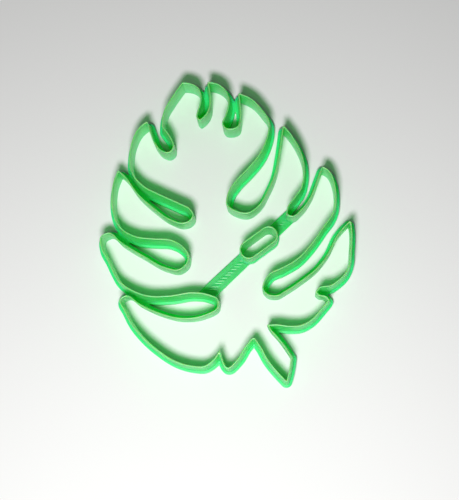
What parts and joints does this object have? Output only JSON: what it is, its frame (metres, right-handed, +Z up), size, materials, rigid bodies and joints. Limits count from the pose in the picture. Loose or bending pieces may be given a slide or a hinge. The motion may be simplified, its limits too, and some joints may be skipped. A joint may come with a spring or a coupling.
{
  "type": "monstera leaf cookie cutter",
  "caption": "One-piece printed cutter: a thin wall in a split leaf's outline on a wide foot, with a low bar across it that carries a small oval ring.",
  "frame": {"origin": "centre of the bounding box on the plane that the foot rests on", "axes": "+Z up from the foot to the cutting edge, +Y along the midrib from the stem to the tip lobe, +X to the right seen from above"},
  "size_m": [0.0876, 0.1102, 0.014],
  "materials": {
    "green_plastic": "printed plastic with fine layer lines and a soft gloss"
  },
  "bodies": {
    "root": {"cutter": "green_plastic"}
  },
  "joints": []
}
